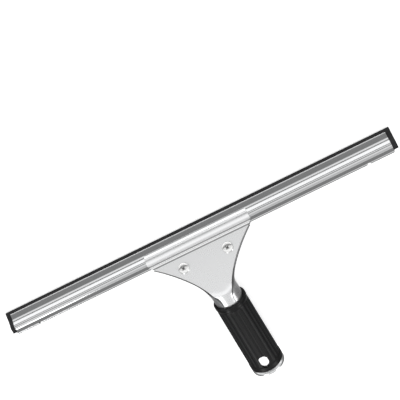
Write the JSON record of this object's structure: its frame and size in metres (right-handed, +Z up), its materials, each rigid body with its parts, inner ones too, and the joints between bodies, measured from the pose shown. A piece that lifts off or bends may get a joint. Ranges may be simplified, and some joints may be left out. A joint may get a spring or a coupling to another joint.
{
  "type": "window squeegee",
  "caption": "Hand squeegee: a rubber blade in a stainless channel, held by a screw-clamped jaw on a tubular handle with a rubber grip, pole socket and hanging hole.",
  "frame": {"origin": "bottom centre of the whole box, with the squeegee lying on a table on its working edge and the end of its handle", "axes": "+X along the channel to the right, +Y from the handle towards the working edge, +Z up, clamp plate and screws on top"},
  "size_m": [0.355, 0.149, 0.0359],
  "materials": {
    "body_steel": "stamped stainless sheet, satin with polished edges",
    "plate_steel": "stamped stainless sheet, fine satin",
    "channel_steel": "roll-formed stainless, lightly drawn along its length",
    "screw_steel": "turned stainless, polished dome",
    "nut_steel": "plain stainless",
    "clip_steel": "spring steel",
    "grip_rubber": "matt moulded rubber with fine lengthwise ridges",
    "blade_rubber": "smooth soft rubber"
  },
  "bodies": {
    "handle": {"handle_body": "body_steel", "grip_sleeve": "grip_rubber", "clamp_nut_left": "nut_steel", "clamp_nut_right": "nut_steel"},
    "clamp_plate": {"clamp_plate": "plate_steel"},
    "clamp_screw_left": {"clamp_screw_left": "screw_steel"},
    "clamp_screw_right": {"clamp_screw_right": "screw_steel"},
    "channel": {"channel": "channel_steel"},
    "blade": {"rubber_blade": "blade_rubber"},
    "blade_clip_left": {"blade_clip_left": "clip_steel"},
    "blade_clip_right": {"blade_clip_right": "clip_steel"}
  },
  "joints": [
    {"name": "plate_hinge", "type": "hinge", "parent": "handle", "child": "clamp_plate", "pos_m": [0, -0.00398, 0.03259], "axis": [1, 0, 0], "range_deg": [0, 1.2]},
    {"name": "screw_left_turn", "type": "hinge", "parent": "clamp_plate", "child": "clamp_screw_left", "pos_m": [-0.02, 0.04926, 0.02083], "axis": [0, 0.4301, 0.9028], "range_deg": [0, 500]},
    {"name": "screw_right_turn", "type": "hinge", "parent": "clamp_plate", "child": "clamp_screw_right", "pos_m": [0.02, 0.04926, 0.02083], "axis": [0, 0.4301, 0.9028], "range_deg": [0, 500]},
    {"name": "channel_slide", "type": "slide", "parent": "handle", "child": "channel", "axis": [1, 0, 0], "range_m": [-0.125, 0.125]},
    {"name": "blade_slide", "type": "slide", "parent": "channel", "child": "blade", "axis": [1, 0, 0], "range_m": [0, 0.34]},
    {"name": "clip_left_slide", "type": "slide", "parent": "channel", "child": "blade_clip_left", "axis": [-1, 0, 0], "range_m": [0, 0.022]},
    {"name": "clip_right_slide", "type": "slide", "parent": "channel", "child": "blade_clip_right", "axis": [1, 0, 0], "range_m": [0, 0.022]}
  ],
  "couplings": [
    {"joint": "screw_left_turn", "follows": "plate_hinge", "ratio": 416.6},
    {"joint": "screw_right_turn", "follows": "plate_hinge", "ratio": 416.6}
  ]
}
